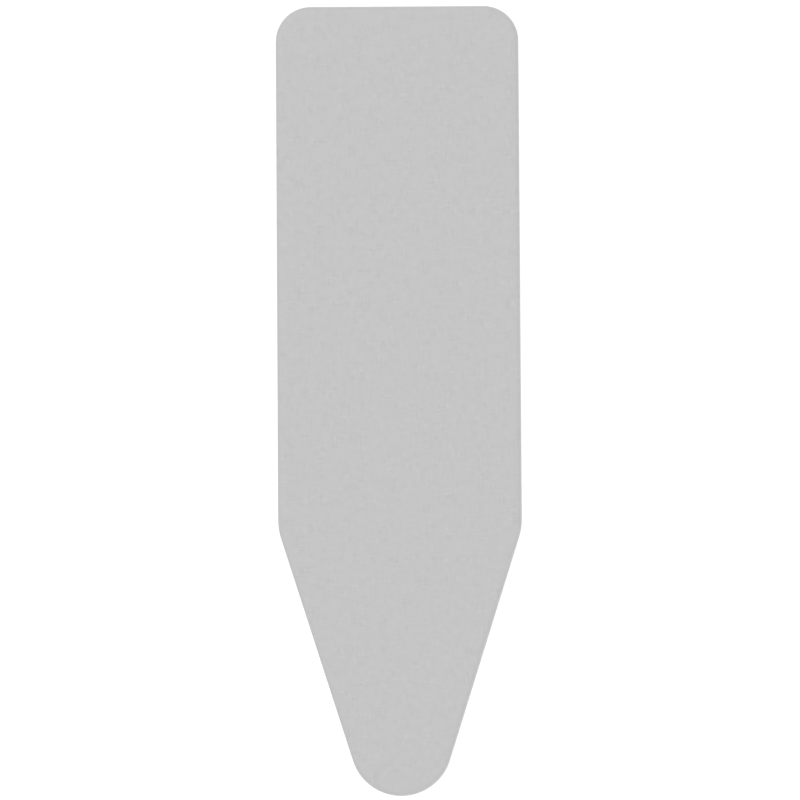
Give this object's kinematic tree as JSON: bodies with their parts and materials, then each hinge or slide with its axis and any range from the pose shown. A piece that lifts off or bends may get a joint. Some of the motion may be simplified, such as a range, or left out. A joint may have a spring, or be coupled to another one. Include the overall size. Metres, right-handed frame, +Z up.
{
  "type": "ironing board cover",
  "caption": "Fitted cover for an ironing board: metallised cloth face with foam lining, corded hem with a sprung lock, and elastic straps with hinged clips underneath.",
  "frame": {"origin": "bottom centre of the cover, on the plane that it lies on, under the middle of its length and width", "axes": "+X across the board, +Y along it to the square end with the nose at -Y, +Z up out of the ironing face"},
  "size_m": [0.3846, 1.2456, 0.035],
  "materials": {
    "metallised_cotton": "satin",
    "foam": "matte",
    "binding_tape": "matte",
    "cord": "matte",
    "elastic_webbing": "matte",
    "plated_steel": "polished",
    "dark_plastic": "satin"
  },
  "bodies": {
    "cover": {"face_cloth": "metallised_cotton", "foam_lining": "foam", "hem_binding": "binding_tape", "draw_cord": "cord", "cord_clasp": "dark_plastic", "rear_strap": "elastic_webbing", "middle_strap": "elastic_webbing", "front_strap": "elastic_webbing", "rear_right_clip_base": "plated_steel", "rear_left_clip_base": "plated_steel", "middle_right_clip_base": "plated_steel", "middle_left_clip_base": "plated_steel", "front_right_clip_base": "plated_steel", "front_left_clip_base": "plated_steel", "rear_right_clip_pin": "plated_steel", "rear_left_clip_pin": "plated_steel", "middle_right_clip_pin": "plated_steel", "middle_left_clip_pin": "plated_steel", "front_right_clip_pin": "plated_steel", "front_left_clip_pin": "plated_steel"},
    "cord_lock": {"cord_lock_barrel": "dark_plastic", "cord_lock_spring": "plated_steel"},
    "cord_lock_button": {"cord_lock_button": "dark_plastic"},
    "rear_right_clip_lever": {"rear_right_clip_lever": "plated_steel"},
    "rear_left_clip_lever": {"rear_left_clip_lever": "plated_steel"},
    "middle_right_clip_lever": {"middle_right_clip_lever": "plated_steel"},
    "middle_left_clip_lever": {"middle_left_clip_lever": "plated_steel"},
    "front_right_clip_lever": {"front_right_clip_lever": "plated_steel"},
    "front_left_clip_lever": {"front_left_clip_lever": "plated_steel"}
  },
  "joints": [
    {"name": "cord_lock_slide", "type": "slide", "parent": "cover", "child": "cord_lock", "axis": [0, -1, 0], "range_m": [0, 0.035]},
    {"name": "cord_lock_press", "type": "slide", "parent": "cord_lock", "child": "cord_lock_button", "axis": [-1, 0, 0], "range_m": [0, 0.0035], "stiffness_N_per_m": 400, "deforming": ["cord_lock_spring"]},
    {"name": "rear_right_clip_hinge", "type": "hinge", "parent": "cover", "child": "rear_right_clip_lever", "pos_m": [0.12897, 0.39927, 0.003], "axis": [0, 1, 0], "range_deg": [0, 70]},
    {"name": "rear_left_clip_hinge", "type": "hinge", "parent": "cover", "child": "rear_left_clip_lever", "pos_m": [-0.12897, 0.39927, 0.003], "axis": [0, -1, 0], "range_deg": [0, 70]},
    {"name": "middle_right_clip_hinge", "type": "hinge", "parent": "cover", "child": "middle_right_clip_lever", "pos_m": [0.12929, 0.13612, 0.003], "axis": [0, 1, 0], "range_deg": [0, 70]},
    {"name": "middle_left_clip_hinge", "type": "hinge", "parent": "cover", "child": "middle_left_clip_lever", "pos_m": [-0.12929, 0.13612, 0.003], "axis": [0, -1, 0], "range_deg": [0, 70]},
    {"name": "front_right_clip_hinge", "type": "hinge", "parent": "cover", "child": "front_right_clip_lever", "pos_m": [0.12961, -0.12703, 0.003], "axis": [0, 1, 0], "range_deg": [0, 70]},
    {"name": "front_left_clip_hinge", "type": "hinge", "parent": "cover", "child": "front_left_clip_lever", "pos_m": [-0.12961, -0.12703, 0.003], "axis": [0, -1, 0], "range_deg": [0, 70]}
  ]
}
